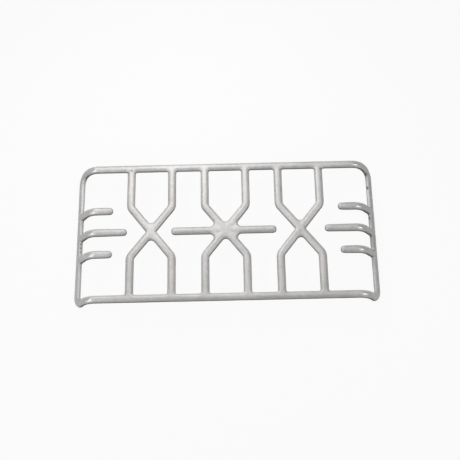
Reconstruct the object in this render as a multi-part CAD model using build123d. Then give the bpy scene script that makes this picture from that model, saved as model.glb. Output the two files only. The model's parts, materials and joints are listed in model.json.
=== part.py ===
from build123d import *
import os
from math import cos, radians, sin

# Hob pan support, one grey-iron casting in millimetres.
# X runs along the length, Y from front to rear, Z up.
# The origin is the middle of the footprint, on the plane the side rails rest on.

# Envelope
length = 483.5              # over the two side rails
depth = 238.7               # over the front and rear rails
height = 37.5               # cooking plane above the rest plane

# Section of the bars
bar_height = 8.0
crown_radius = 5.4          # rounding of the upper edges
under_radius = 2.4          # rounding of the lower edges

# Widths of the bars seen square on
rail_width = 12.5           # front and rear rails
side_width = 11.4           # low side rails
leg_width = 13.1            # bent bars of the crossings
finger_width = 12.8         # fingers where they leave the bend
finger_tip_width = 11.8     # fingers at the tip
finger_root_width = 11.2    # fingers where they meet the side rail
bridge_width = 12.7         # free-ended bar of the middle crossing

# Layout of the cooking plane
cross_pitch = 119.2         # from one crossing to the next
leg_spacing = 66.2          # between the two legs of a crossing, at the rail
leg_bend = 43.2             # from the middle line to where a leg turns inwards
leg_bend_radius = 14.0      # of the bar's centre line
finger_pitch = 37.7         # from one finger to the next
long_finger = 48.8          # level length of the middle finger, from the bend
short_finger = 25.8         # level length of the two outer fingers
bridge_length = 168.4
bridge_shift = -3.0         # the bridge bar sits a little to one side

# Ends bent down to the side rails
bend_angle = 57.0
bend_radius = 23.0          # of the bar's centre line
corner_radius = 21.0        # outer corner, in the plane of the bent end
inner_corner_radius = 10.0
foot_flat = 0.8             # ground off the lowest edge of each side rail

# Webs in the corners between bars
crossing_web = 6.4          # sharp corners of a crossing
crossing_side_web = 2.6     # blunt corners of a crossing
bridge_web = 6.2            # between the bridge bar and the crossing
rail_web = 2.6              # leg to rail
finger_web = 1.6            # finger to side rail
tip_radius = 5.6            # corners of the free ends

# Derived places
turn = radians(bend_angle)
half_bar = bar_height / 2
level = height - half_bar
rail_y = (depth - rail_width) / 2
# Middle of a side rail's section down to its lowest point, and out to its outermost
rail_sink = (
    (side_width / 2 - under_radius) * sin(turn)
    + (half_bar - under_radius) * cos(turn)
    + under_radius
    - foot_flat
)
rail_reach = (
    (side_width / 2 - crown_radius) * cos(turn)
    + (half_bar - crown_radius) * sin(turn)
    + crown_radius
)
# Sloping run from the end of the bend to the middle of the side rail
slope_run = (level - rail_sink - bend_radius * (1 - cos(turn))) / sin(turn)
side_x = length / 2 - rail_reach
bend_x = side_x - bend_radius * sin(turn) - slope_run * cos(turn)
fingers = [
    (finger_pitch, short_finger),
    (0.0, long_finger),
    (-finger_pitch, short_finger),
]


def crown(solid, top, bottom, cuts):
    """Round the upper and lower edges of a flat bar lattice, but not where it is cut."""
    def free(edge):
        return all(abs(plane.to_local_coords(edge).center().Z) > 0.01 for plane in cuts)

    upper = solid.faces().filter_by(lambda f: abs(top.to_local_coords(f).center().Z) < 0.01)
    solid = fillet(upper.edges().filter_by(free), crown_radius)
    lower = solid.faces().filter_by(lambda f: abs(bottom.to_local_coords(f).center().Z) < 0.01)
    return fillet(lower.edges().filter_by(free), under_radius)


def bent_bar(middle, hand):
    """One bar of a crossing: straight leg, slanting middle, straight leg."""
    leg_x = hand * leg_spacing / 2
    line = FilletPolyline(
        (middle - leg_x, rail_y),
        (middle - leg_x, leg_bend),
        (middle + leg_x, -leg_bend),
        (middle + leg_x, -rail_y),
        radius=leg_bend_radius,
    )
    return trace(line, leg_width)


def lattice():
    """Plan of the level middle: two rails, three crossings and the bridge bar."""
    plan = Sketch()
    for y in (rail_y, -rail_y):
        plan += Pos(0, y) * Rectangle(2 * bend_x, rail_width)
    for middle in (-cross_pitch, 0.0, cross_pitch):
        for hand in (1, -1):
            plan += bent_bar(middle, hand)
    bridge = Rectangle(bridge_length, bridge_width)
    bridge = fillet(bridge.vertices(), tip_radius)
    plan += Pos(bridge_shift, 0) * bridge

    def near(vertex, reach):
        return abs(vertex.Y) < reach

    inside = rail_y - rail_width / 2
    at_rail = plan.vertices().filter_by(lambda v: abs(abs(v.Y) - inside) < 0.01 and abs(v.X) < bend_x - 0.01)
    plan = fillet(at_rail, rail_web)
    for middle in (-cross_pitch, cross_pitch):
        blunt = plan.vertices().filter_by(lambda v: near(v, 0.01) and abs(v.X - middle) < leg_spacing / 2)
        plan = fillet(blunt, crossing_side_web)
    for middle in (-cross_pitch, 0.0, cross_pitch):
        sharp = plan.vertices().filter_by(lambda v: abs(v.X - middle) < 0.01 and near(v, leg_bend))
        plan = fillet(sharp, crossing_web)
    at_bridge = plan.vertices().filter_by(
        lambda v: abs(abs(v.Y) - bridge_width / 2) < 0.01 and abs(v.X) < leg_spacing / 2
    )
    return fillet(at_bridge, bridge_web)


def finger_plan(y, start, end, end_width):
    """A stretch of finger along X whose sides draw in from the full width at its start."""
    half = finger_width / 2
    half_end = end_width / 2
    along = (1 if end > start else -1, 0)
    upper = TangentArc((start, y + half), (end, y + half_end), tangent=along)
    lower = TangentArc((start, y - half), (end, y - half_end), tangent=along)
    nose = Line((end, y + half_end), (end, y - half_end))
    base = Line((start, y - half), (start, y + half))
    return make_face([upper, nose, lower, base])


def level_finger(y, reach):
    """Level part of a right-hand finger, with a rounded end."""
    plan = finger_plan(y, bend_x, bend_x - reach, finger_tip_width)
    plan = fillet(plan.vertices().sort_by(Axis.X)[:2], tip_radius)
    bar = extrude(under_plane * plan, bar_height)
    return crown(bar, top_plane, under_plane, cut_planes)


def end_plan():
    """Plan of a bent end, drawn flat: X down the slope, zero where the bend stops."""
    low = slope_run + side_width / 2
    shape = Pos(low / 2, 0) * Rectangle(low, depth)
    shape = fillet(shape.vertices().sort_by(Axis.X)[-2:], corner_radius)
    opening_run = low - side_width
    opening = Pos(opening_run / 2, 0) * Rectangle(opening_run, depth - 2 * rail_width)
    opening = fillet(opening.vertices().sort_by(Axis.X)[-2:], inner_corner_radius)
    shape -= opening
    for y, _ in fingers:
        shape += finger_plan(y, 0, opening_run, finger_root_width)
    roots = shape.vertices().filter_by(
        lambda v: abs(v.X - opening_run) < 0.01 and abs(v.Y) < finger_pitch + finger_width
    )
    return fillet(roots, finger_web)


cut_planes = [Plane((side * bend_x, 0, 0), z_dir=(side, 0, 0)) for side in (1, -1)]
top_plane = Plane.XY.offset(height)
under_plane = Plane.XY.offset(height - bar_height)

deck = crown(extrude(under_plane * lattice(), bar_height), top_plane, under_plane, cut_planes)

# Right-hand end, mirrored below for the left
level_fingers = [level_finger(y, reach) for y, reach in fingers]

hinge = Axis((bend_x, 0, level - bend_radius), (0, 1, 0))
section_faces = []
for piece in [deck] + level_fingers:
    section_faces += piece.faces().filter_by(lambda f: abs(f.center().X - bend_x) < 0.01)
bends = [revolve(face, hinge, bend_angle) for face in section_faces]

slope_start = (
    bend_x + bend_radius * sin(turn),
    0,
    level - bend_radius * (1 - cos(turn)),
)
slope_plane = Plane(slope_start, x_dir=(cos(turn), 0, -sin(turn)), z_dir=(sin(turn), 0, cos(turn)))
slope_top = slope_plane.offset(half_bar)
slope_under = slope_plane.offset(-half_bar)
slope_cut = Plane(slope_start, z_dir=slope_plane.x_dir)
end = crown(extrude(slope_under * end_plan(), bar_height), slope_top, slope_under, [slope_cut])

right_end = end
for piece in bends + level_fingers:
    right_end += piece
left_end = mirror(right_end, Plane.YZ)
pan_support = deck + right_end + left_end

# Flat ground along the lowest edge of each side rail
ground = Pos(0, 0, -foot_flat) * Box(length, depth, 2 * foot_flat)
pan_support -= ground

pan_support.label = "pan_support"
os.makedirs("parts", exist_ok=True)
export_step(pan_support, "parts/pan_support.step")
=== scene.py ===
import json
import math
import bpy
from mathutils import Matrix, Vector
from mathutils.kdtree import KDTree

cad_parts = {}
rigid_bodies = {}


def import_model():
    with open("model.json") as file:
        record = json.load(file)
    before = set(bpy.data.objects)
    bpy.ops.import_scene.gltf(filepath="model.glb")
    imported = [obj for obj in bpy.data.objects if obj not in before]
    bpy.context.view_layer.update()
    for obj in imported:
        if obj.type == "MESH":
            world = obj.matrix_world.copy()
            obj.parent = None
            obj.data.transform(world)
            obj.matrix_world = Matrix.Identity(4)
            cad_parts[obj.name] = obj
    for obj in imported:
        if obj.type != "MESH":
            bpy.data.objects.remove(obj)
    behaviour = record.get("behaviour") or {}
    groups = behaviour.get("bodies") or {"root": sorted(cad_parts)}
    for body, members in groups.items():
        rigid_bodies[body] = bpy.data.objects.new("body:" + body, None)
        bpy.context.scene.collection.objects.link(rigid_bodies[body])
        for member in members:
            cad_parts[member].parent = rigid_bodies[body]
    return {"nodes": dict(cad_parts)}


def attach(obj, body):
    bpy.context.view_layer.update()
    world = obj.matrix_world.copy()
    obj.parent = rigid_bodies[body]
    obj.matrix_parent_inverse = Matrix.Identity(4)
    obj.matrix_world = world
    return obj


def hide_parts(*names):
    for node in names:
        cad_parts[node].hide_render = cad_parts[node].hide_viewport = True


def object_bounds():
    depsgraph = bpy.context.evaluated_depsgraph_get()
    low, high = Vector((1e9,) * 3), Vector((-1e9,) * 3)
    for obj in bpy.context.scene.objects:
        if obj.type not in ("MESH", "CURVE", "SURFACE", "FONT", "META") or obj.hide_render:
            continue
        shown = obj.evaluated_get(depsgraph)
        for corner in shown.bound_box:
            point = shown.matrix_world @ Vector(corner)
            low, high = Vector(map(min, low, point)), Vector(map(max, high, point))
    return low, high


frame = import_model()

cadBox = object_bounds()
castNode = frame["nodes"]["pan_support"]
print("frame loaded")


def pickOnly(piece):
    bpy.ops.object.select_all(action="DESELECT")
    piece.select_set(True)
    bpy.context.view_layer.objects.active = piece


def applyModifier(piece, kind, label, **settings):
    modifier = piece.modifiers.new(label, kind)
    for key, value in settings.items():
        setattr(modifier, key, value)
    pickOnly(piece)
    bpy.ops.object.modifier_apply(modifier=label)


def cloudTexture(label, size, detail):
    texture = bpy.data.textures.new(label, "CLOUDS")
    texture.noise_scale = size
    texture.noise_depth = detail
    return texture


# The casting: a fine even skin over the solid, then the unevenness of the sand mould
castSkin = {
    "name": "castPanSupport",
    "weld": 0.00001,
    "voxel": 0.00125,
    "relaxFactor": 0.5,
    "relaxSteps": 4,
    "waveSize": 0.022,          # slow waviness of the bars
    "waveDepth": 0.00028,
    "waveDetail": 1,
    "sandSize": 0.0030,         # sand grain of the mould
    "sandDepth": 0.00012,
    "sandDetail": 2,
    "evenLevel": 0.5,           # as much goes out as in
    "fitIn": (0.9993, 0.9986, 0.9920),      # draws it back inside the solid's box
    "fitHeight": 0.019,
}


def makeCasting(opts):
    pickOnly(castNode)
    bpy.ops.object.duplicate()
    piece = bpy.context.active_object
    piece.name = opts["name"]
    bpy.ops.object.parent_clear(type="CLEAR_KEEP_TRANSFORM")
    bpy.ops.object.mode_set(mode="EDIT")
    bpy.ops.mesh.select_all(action="SELECT")
    bpy.ops.mesh.remove_doubles(threshold=opts["weld"])
    bpy.ops.object.mode_set(mode="OBJECT")
    applyModifier(piece, "REMESH", "skin", mode="VOXEL", voxel_size=opts["voxel"])
    applyModifier(
        piece, "SHRINKWRAP", "seat", target=castNode, wrap_method="NEAREST_SURFACEPOINT",
    )
    applyModifier(
        piece, "SMOOTH", "relax", factor=opts["relaxFactor"], iterations=opts["relaxSteps"],
    )
    for label in ("wave", "sand"):
        texture = cloudTexture(label, opts[label + "Size"], opts[label + "Detail"])
        applyModifier(
            piece, "DISPLACE", label, texture=texture, texture_coords="LOCAL",
            strength=opts[label + "Depth"], mid_level=opts["evenLevel"],
        )
    bpy.ops.object.mode_set(mode="EDIT")
    bpy.ops.mesh.select_all(action="SELECT")
    bpy.ops.transform.resize(
        value=opts["fitIn"], center_override=(0.0, 0.0, opts["fitHeight"]),
    )
    bpy.ops.object.mode_set(mode="OBJECT")
    bpy.ops.object.shade_smooth()
    return piece


casting = makeCasting(castSkin)
print("casting skin:", len(casting.data.polygons), "faces")


# Crossings: each bar keeps its crown through the crossing, and the webs between lie lower
crossings = {
    "middles": (-0.1192, 0.0, 0.1192),
    "barRun": (0.0662, 0.0864),     # of a slanting bar, between its two bends
    "bridged": 0.0,                 # the crossing that the bridge bar runs through
    "reach": 0.034,                 # from the middle of a crossing
    "top": 0.0375,
    "crest": 0.00115,               # half the flat on top of a bar
    "crown": 0.0054,
    "webSink": 0.0007,
    "sideLean": 0.2,                # steeper faces are left alone
}


def sinkWebs(piece, opts):
    runX, runY = opts["barRun"]
    span = math.hypot(runX, runY)

    def crownDrop(away):
        over = min(max(away - opts["crest"], 0.0), opts["crown"])
        return opts["crown"] - math.sqrt(opts["crown"] ** 2 - over ** 2)

    group = piece.vertex_groups.new(name="webs")
    for vertex in piece.data.vertices:
        if vertex.normal.z < opts["sideLean"] or abs(vertex.co.y) > opts["reach"]:
            continue
        for middle in opts["middles"]:
            x = vertex.co.x - middle
            y = vertex.co.y
            if abs(x) > opts["reach"]:
                continue
            drops = [crownDrop(abs(x * runY + hand * y * runX) / span) for hand in (1, -1)]
            if middle == opts["bridged"]:
                drops.append(crownDrop(abs(y)))
            sink = 1.0 - math.exp(-min(drops) / opts["webSink"])
            already = (opts["top"] - vertex.co.z) / opts["webSink"]
            if sink > already:
                group.add([vertex.index], min(sink - max(already, 0.0), 1.0), "REPLACE")
    applyModifier(
        piece, "DISPLACE", "sink", direction="Z", vertex_group=group.name,
        strength=-opts["webSink"], mid_level=0.0,
    )
    piece.vertex_groups.clear()


sinkWebs(casting, crossings)
print("webs sunk")


# Casting flaws: small pits and rough spots, each a place, a radius and a depth in metres
castFlaws = {
    "attribute": "castFlaw",
    "soften": 0.4,
    "shadeReach": 2.0,          # of the dark round a pit, in radii
    "spots": [
        ((0.2322, 0.1035, 0.0116), 0.0028, 0.0008),     # right rail, inner edge
        ((0.2325, 0.0800, 0.0088), 0.0030, 0.0009),
        ((0.2328, 0.0256, 0.0090), 0.0018, 0.0005),
        ((0.2333, -0.0070, 0.0092), 0.0013, 0.0005),
        ((-0.2343, -0.0090, 0.0099), 0.0011, 0.0004),   # left rail, inner edge
        ((-0.2341, -0.0160, 0.0097), 0.0012, 0.0005),
        ((-0.2340, -0.0230, 0.0098), 0.0012, 0.0005),
        ((-0.1520, 0.1080, 0.0372), 0.0014, 0.0004),    # legs at the rear rail
        ((0.1560, 0.1040, 0.0370), 0.0014, 0.0004),
    ],
}


def markFlaws(piece, opts):
    mesh = piece.data
    finder = KDTree(len(mesh.vertices))
    for vertex in mesh.vertices:
        finder.insert(vertex.co, vertex.index)
    finder.balance()
    pickOnly(piece)
    for place, radius, depth in opts["spots"]:
        bpy.ops.object.mode_set(mode="EDIT")
        bpy.ops.mesh.select_mode(type="VERT")
        bpy.ops.mesh.select_all(action="DESELECT")
        bpy.ops.object.mode_set(mode="OBJECT")
        for _, index, _ in finder.find_range(place, radius):
            mesh.vertices[index].select = True
        bpy.ops.object.mode_set(mode="EDIT")
        bpy.ops.transform.shrink_fatten(value=-depth)
        bpy.ops.mesh.vertices_smooth(factor=opts["soften"])
        bpy.ops.object.mode_set(mode="OBJECT")
    # The attribute comes after all edits of the mesh
    shade = mesh.attributes.new(opts["attribute"], "FLOAT", "POINT")
    for place, radius, _ in opts["spots"]:
        for _, index, away in finder.find_range(place, opts["shadeReach"] * radius):
            soft = math.exp(-(away / radius) ** 2)
            shade.data[index].value = max(shade.data[index].value, soft)


markFlaws(casting, castFlaws)
print("flaws marked")


# How nearly each face looks up, which sets where the flanks are painted in shade, and the
# crests of the bends that pans have rubbed, painted lighter there as a highlight
barTops = {
    "topAttribute": "barTop",
    "rubGlintAttribute": "bendRubGlint",
    "bendX": 0.2065,            # where the ends start to bend
    "hingeZ": 0.0105,           # height of the line they bend about
    "bendAngle": 57.0,
    "rubGlintAngle": 19.0,           # middle of the rubbed stretch with its painted highlight, round the bend
    "rubGlintSpread": 13.0,
}


def markTops(piece, opts):
    mesh = piece.data
    most = math.radians(opts["bendAngle"])
    rubGlintAngle = math.radians(opts["rubGlintAngle"])
    rubGlintSpread = math.radians(opts["rubGlintSpread"])
    tops = []
    rubGlints = []
    for vertex in mesh.vertices:
        side = math.copysign(1.0, vertex.co.x)
        turn = math.atan2(abs(vertex.co.x) - opts["bendX"], vertex.co.z - opts["hingeZ"])
        bent = min(max(turn, 0.0), most)
        barUp = Vector((side * math.sin(bent), 0.0, math.cos(bent)))
        top = vertex.normal.dot(barUp)
        tops.append(max(top, vertex.normal.z))
        rubGlints.append(max(top, 0.0) ** 2 * math.exp(-((turn - rubGlintAngle) / rubGlintSpread) ** 2))
    for label, values in ((opts["topAttribute"], tops), (opts["rubGlintAttribute"], rubGlints)):
        shade = mesh.attributes.new(label, "FLOAT", "POINT")
        shade.data.foreach_set("value", values)


markTops(casting, barTops)
print("bar tops marked")


# Satin grey iron: tops light, flanks painted darker as shade, rubbed bends painted
# brightest as a highlight
ironFinish = {
    "topLight": (0.665, 0.656, 0.645, 1.0),
    "topDark": (0.485, 0.474, 0.461, 1.0),
    # The flank colours are painted shade: the same iron as the tops, made darker because
    # the flanks face away from the lamps
    "flankLight": (0.185, 0.181, 0.174, 1.0),
    "flankDark": (0.110, 0.107, 0.101, 1.0),
    # The rub colour is a painted highlight: the bend crests are made lighter to brighten
    # the glints there
    "rubGlintColour": (0.76, 0.757, 0.75, 1.0),
    "flawColour": (0.05, 0.047, 0.043, 1.0),
    "flankFrom": 0.05,          # from full flank to full top, by how a face leans
    "flankTo": 0.66,
    "topMetal": 0.32,
    "flankMetal": 0.06,
    "rubMetal": 0.18,           # added on the rubbed bends
    "rubRough": -0.13,
    "flankRough": 0.20,         # added on the flanks
    "roughLow": 0.37,
    "roughHigh": 0.49,
    "roughFrom": 0.3,           # stretch of the patches over which roughness runs
    "roughTo": 0.7,
    "edgeSheen": 0.20,
    "edgeTint": (0.35, 0.35, 0.35, 1.0),
    # scale, detail and roughness of each noise
    "cloud": (22.0, 3.0, 0.5),
    "patch": (170.0, 4.0, 0.6),
    "grain": (1300.0, 3.0, 0.6),
    "patchShare": 0.5,          # of patches over clouds, then of grain over both
    "grainShare": 0.35,
    "toneDark": 0.34,
    "toneLight": 0.60,
    "bumpPatches": 0.4,
    "bumpStrength": 0.35,
    "bumpDistance": 0.00010,
}


def ironMaterial(opts):
    material = bpy.data.materials.new("satinGreyIron")
    material.use_nodes = True
    nodes = material.node_tree.nodes
    links = material.node_tree.links
    shader = nodes["Principled BSDF"]
    place = nodes.new("ShaderNodeTexCoord")

    def noise(scale, detail, roughness):
        node = nodes.new("ShaderNodeTexNoise")
        node.inputs["Scale"].default_value = scale
        node.inputs["Detail"].default_value = detail
        node.inputs["Roughness"].default_value = roughness
        links.new(place.outputs["Object"], node.inputs["Vector"])
        return node.outputs["Fac"]

    def marked(label):
        node = nodes.new("ShaderNodeAttribute")
        node.attribute_name = label
        return node.outputs["Fac"]

    def mixed(a, b, factor):
        node = nodes.new("ShaderNodeMix")
        node.inputs["Factor"].default_value = factor
        links.new(a, node.inputs["A"])
        links.new(b, node.inputs["B"])
        return node.outputs["Result"]

    def ramped(value, dark, light):
        node = nodes.new("ShaderNodeValToRGB")
        low, high = node.color_ramp.elements
        low.position = opts["toneDark"]
        low.color = dark
        high.position = opts["toneLight"]
        high.color = light
        links.new(value, node.inputs["Fac"])
        return node.outputs["Color"]

    # Sockets 0, 6 and 7 are the factor and the two colours, output 2 is the colour
    def blended(a, b, factor):
        node = nodes.new("ShaderNodeMix")
        node.data_type = "RGBA"
        links.new(factor, node.inputs[0])
        links.new(a, node.inputs[6])
        if isinstance(b, tuple):
            node.inputs[7].default_value = b
        else:
            links.new(b, node.inputs[7])
        return node.outputs[2]

    def spread(value, toMin, toMax, fromMin=0.0, fromMax=1.0):
        node = nodes.new("ShaderNodeMapRange")
        node.inputs["From Min"].default_value = fromMin
        node.inputs["From Max"].default_value = fromMax
        node.inputs["To Min"].default_value = toMin
        node.inputs["To Max"].default_value = toMax
        links.new(value, node.inputs["Value"])
        return node.outputs["Result"]

    def added(a, b):
        node = nodes.new("ShaderNodeMath")
        links.new(a, node.inputs[0])
        links.new(b, node.inputs[1])
        return node.outputs["Value"]

    cloud = noise(*opts["cloud"])
    patch = noise(*opts["patch"])
    grain = noise(*opts["grain"])
    tone = mixed(mixed(cloud, patch, opts["patchShare"]), grain, opts["grainShare"])

    # Mask from flank to top: it sets the painted shade on the flanks as well as their
    # roughness and metal
    flankShadeRamp = nodes.new("ShaderNodeMapRange")
    flankShadeRamp.interpolation_type = "SMOOTHSTEP"
    flankShadeRamp.inputs["From Min"].default_value = opts["flankFrom"]
    flankShadeRamp.inputs["From Max"].default_value = opts["flankTo"]
    links.new(marked(barTops["topAttribute"]), flankShadeRamp.inputs["Value"])
    flankShadeToTop = flankShadeRamp.outputs["Result"]
    rubbedGlint = marked(barTops["rubGlintAttribute"])
    flawed = marked(castFlaws["attribute"])

    flank = ramped(tone, opts["flankDark"], opts["flankLight"])
    top = ramped(tone, opts["topDark"], opts["topLight"])
    # Painted shade: the flanks take the darker copy of the iron colour
    iron = blended(flank, top, flankShadeToTop)
    # Painted highlight: the rubbed bend crests take a lighter colour
    iron = blended(iron, opts["rubGlintColour"], rubbedGlint)
    iron = blended(iron, opts["flawColour"], flawed)
    links.new(iron, shader.inputs["Base Color"])

    rough = spread(
        patch, opts["roughLow"], opts["roughHigh"], opts["roughFrom"], opts["roughTo"],
    )
    rough = added(rough, spread(flankShadeToTop, opts["flankRough"], 0.0))
    rough = added(rough, spread(rubbedGlint, 0.0, opts["rubRough"]))
    links.new(rough, shader.inputs["Roughness"])
    metal = spread(flankShadeToTop, opts["flankMetal"], opts["topMetal"])
    metal = added(metal, spread(rubbedGlint, 0.0, opts["rubMetal"]))
    links.new(metal, shader.inputs["Metallic"])

    bump = nodes.new("ShaderNodeBump")
    bump.inputs["Strength"].default_value = opts["bumpStrength"]
    bump.inputs["Distance"].default_value = opts["bumpDistance"]
    links.new(mixed(grain, patch, opts["bumpPatches"]), bump.inputs["Height"])
    links.new(bump.outputs["Normal"], shader.inputs["Normal"])

    shader.inputs["Specular IOR Level"].default_value = opts["edgeSheen"]
    shader.inputs["Specular Tint"].default_value = opts["edgeTint"]
    return material


casting.data.materials.clear()
casting.data.materials.append(ironMaterial(ironFinish))
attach(casting, "root")
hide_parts("pan_support")
print("iron finish set")


# Pale floor that reads white and keeps the shadow, with raised borders for low views
paleFloor = {
    "name": "paleFloor",
    "size": 14.0,
    "wallHeight": 1.3,
    "colour": (0.60, 0.60, 0.595, 1.0),
    "roughness": 0.9,
    "sheen": 0.0,
    "whiteShare": 0.93,         # the rest shows the shadow
}


def makeFloor(opts):
    bpy.ops.object.select_all(action="DESELECT")
    bpy.ops.mesh.primitive_plane_add(size=opts["size"], location=(0, 0, cadBox[0][2]))
    floor = bpy.context.active_object
    floor.name = opts["name"]
    bpy.ops.object.mode_set(mode="EDIT")
    bpy.ops.mesh.select_all(action="SELECT")
    bpy.ops.mesh.extrude_edges_move(
        TRANSFORM_OT_translate={"value": (0.0, 0.0, opts["wallHeight"])},
    )
    bpy.ops.object.mode_set(mode="OBJECT")
    floor.data.materials.append(floorMaterial(opts))
    return floor


def floorMaterial(opts):
    material = bpy.data.materials.new(opts["name"])
    material.use_nodes = True
    nodes = material.node_tree.nodes
    links = material.node_tree.links
    matt = nodes["Principled BSDF"]
    matt.inputs["Base Color"].default_value = opts["colour"]
    matt.inputs["Roughness"].default_value = opts["roughness"]
    matt.inputs["Specular IOR Level"].default_value = opts["sheen"]
    glow = nodes.new("ShaderNodeEmission")
    path = nodes.new("ShaderNodeLightPath")
    seen = path.outputs["Is Camera Ray"]
    for ray in ("Is Glossy Ray", "Is Transmission Ray"):
        either = nodes.new("ShaderNodeMath")
        either.operation = "MAXIMUM"
        links.new(seen, either.inputs[0])
        links.new(path.outputs[ray], either.inputs[1])
        seen = either.outputs["Value"]
    share = nodes.new("ShaderNodeMath")
    share.operation = "MULTIPLY"
    share.inputs[1].default_value = opts["whiteShare"]
    links.new(seen, share.inputs[0])
    blend = nodes.new("ShaderNodeMixShader")
    links.new(share.outputs["Value"], blend.inputs["Fac"])
    links.new(matt.outputs["BSDF"], blend.inputs[1])
    links.new(glow.outputs["Emission"], blend.inputs[2])
    links.new(blend.outputs["Shader"], nodes["Material Output"].inputs["Surface"])
    return material


makeFloor(paleFloor)


# Soft boxes: three overhead, two at the front corners and a small one at each side
studio = {
    "worldColour": (1.0, 1.0, 1.0, 1.0),
    "worldStrength": 0.02,
    "aim": (0.0, 0.0, 0.03),
    "lamps": [
        # name, place, side, watts
        ("overheadMiddle", (0.0, 0.25, 0.60), 0.70, 1.40),
        ("overheadRear", (0.0, 0.36, 0.36), 0.30, 0.45),
        ("overheadLeft", (-0.24, 0.34, 0.42), 0.36, 0.76),
        ("leftFront", (-0.60, -0.52, 0.65), 0.60, 3.30),
        ("rightFront", (0.60, -0.52, 0.65), 0.60, 1.15),
        ("leftSide", (-0.66, 0.02, 0.80), 0.24, 1.10),
        ("rightSide", (0.72, -0.12, 0.72), 0.24, 1.65),
    ],
}


def makeLights(opts):
    world = bpy.data.worlds.new("studio")
    world.use_nodes = True
    background = world.node_tree.nodes["Background"]
    background.inputs["Color"].default_value = opts["worldColour"]
    background.inputs["Strength"].default_value = opts["worldStrength"]
    bpy.context.scene.world = world
    for label, place, side, watts in opts["lamps"]:
        bpy.ops.object.light_add(type="AREA", location=place)
        lamp = bpy.context.active_object
        lamp.name = label
        lamp.data.shape = "SQUARE"
        lamp.data.size = side
        lamp.data.energy = watts
        towards = Vector(opts["aim"]) - Vector(place)
        lamp.rotation_euler = towards.to_track_quat("-Z", "Y").to_euler()


makeLights(studio)
print("floor and lights placed")


# Camera worked out from the straight bars in the photograph
photoCamera = {
    "framePixels": 460,
    "focalPixels": 1020.3,
    "metresPerPixel": 0.001593,     # at the middle of the cooking plane
    "tilt": 24.0,                   # degrees from straight down
    "roll": 1.31,
    "yaw": -0.52,
    "offsetPixels": (-4.26, 0.13),
    "aimHeight": 0.0335,
    "sensor": 36.0,
}


def makeCamera(opts):
    tilt = math.radians(opts["tilt"])
    yaw = math.radians(opts["yaw"])
    roll = math.radians(opts["roll"])
    toCamera = (
        Matrix.Rotation(roll, 3, "Z")
        @ Matrix.Rotation(yaw, 3, "Y")
        @ Matrix.Rotation(-tilt, 3, "X")
    )
    toWorld = toCamera.transposed()
    offsetX, offsetY = opts["offsetPixels"]
    reach = Vector((-offsetX, -offsetY, opts["focalPixels"])) * opts["metresPerPixel"]
    place = Vector((0.0, 0.0, opts["aimHeight"])) + toWorld @ reach
    bpy.ops.object.camera_add(location=place, rotation=toWorld.to_euler())
    camera = bpy.context.active_object
    camera.name = "photoCamera"
    camera.data.sensor_width = opts["sensor"]
    camera.data.lens = opts["sensor"] * opts["focalPixels"] / opts["framePixels"]
    bpy.context.scene.camera = camera


makeCamera(photoCamera)
bpy.context.scene.view_settings.view_transform = "Standard"
print("camera set")
